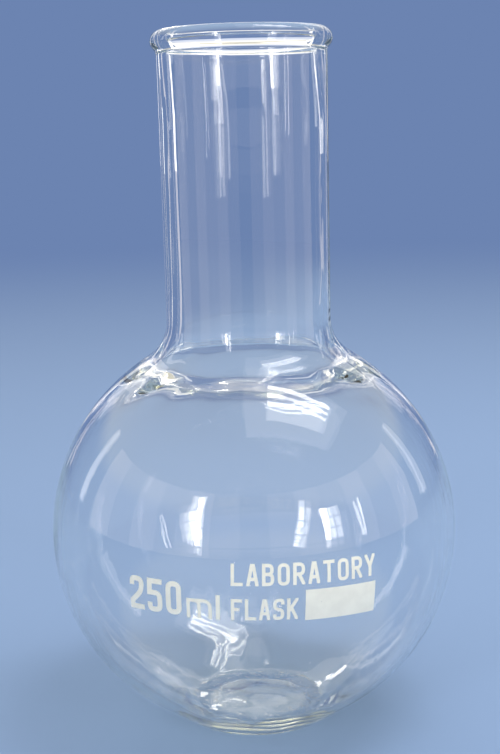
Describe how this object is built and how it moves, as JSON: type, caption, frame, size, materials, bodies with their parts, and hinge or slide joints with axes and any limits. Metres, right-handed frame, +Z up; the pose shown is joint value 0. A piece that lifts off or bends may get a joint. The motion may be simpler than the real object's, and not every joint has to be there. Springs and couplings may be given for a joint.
{
  "type": "boiling flask",
  "caption": "Clear glass boiling flask: flat base, round bulb, straight neck, beaded rim, and cream enamel marks with a blank writing patch.",
  "frame": {"origin": "centre of the base, on the surface that the flask stands on", "axes": "+Z up along the flask's axis, -Y the side that the enamel marks face, +X to their right"},
  "size_m": [0.085, 0.0853, 0.1442],
  "materials": {
    "glass": "clear, fire polished",
    "enamel": "satin cream white, fired on"
  },
  "bodies": {
    "root": {"flask_body": "glass", "writing_patch": "enamel", "capacity_digit_1": "enamel", "capacity_digit_2": "enamel", "capacity_digit_3": "enamel", "unit_m": "enamel", "unit_l": "enamel", "upper_letter_1": "enamel", "upper_letter_2": "enamel", "upper_letter_3": "enamel", "upper_letter_4": "enamel", "upper_letter_5": "enamel", "upper_letter_6": "enamel", "upper_letter_7": "enamel", "upper_letter_8": "enamel", "upper_letter_9": "enamel", "upper_letter_10": "enamel", "lower_letter_1": "enamel", "lower_letter_2": "enamel", "lower_letter_3": "enamel", "lower_letter_4": "enamel", "lower_letter_5": "enamel"}
  },
  "joints": []
}
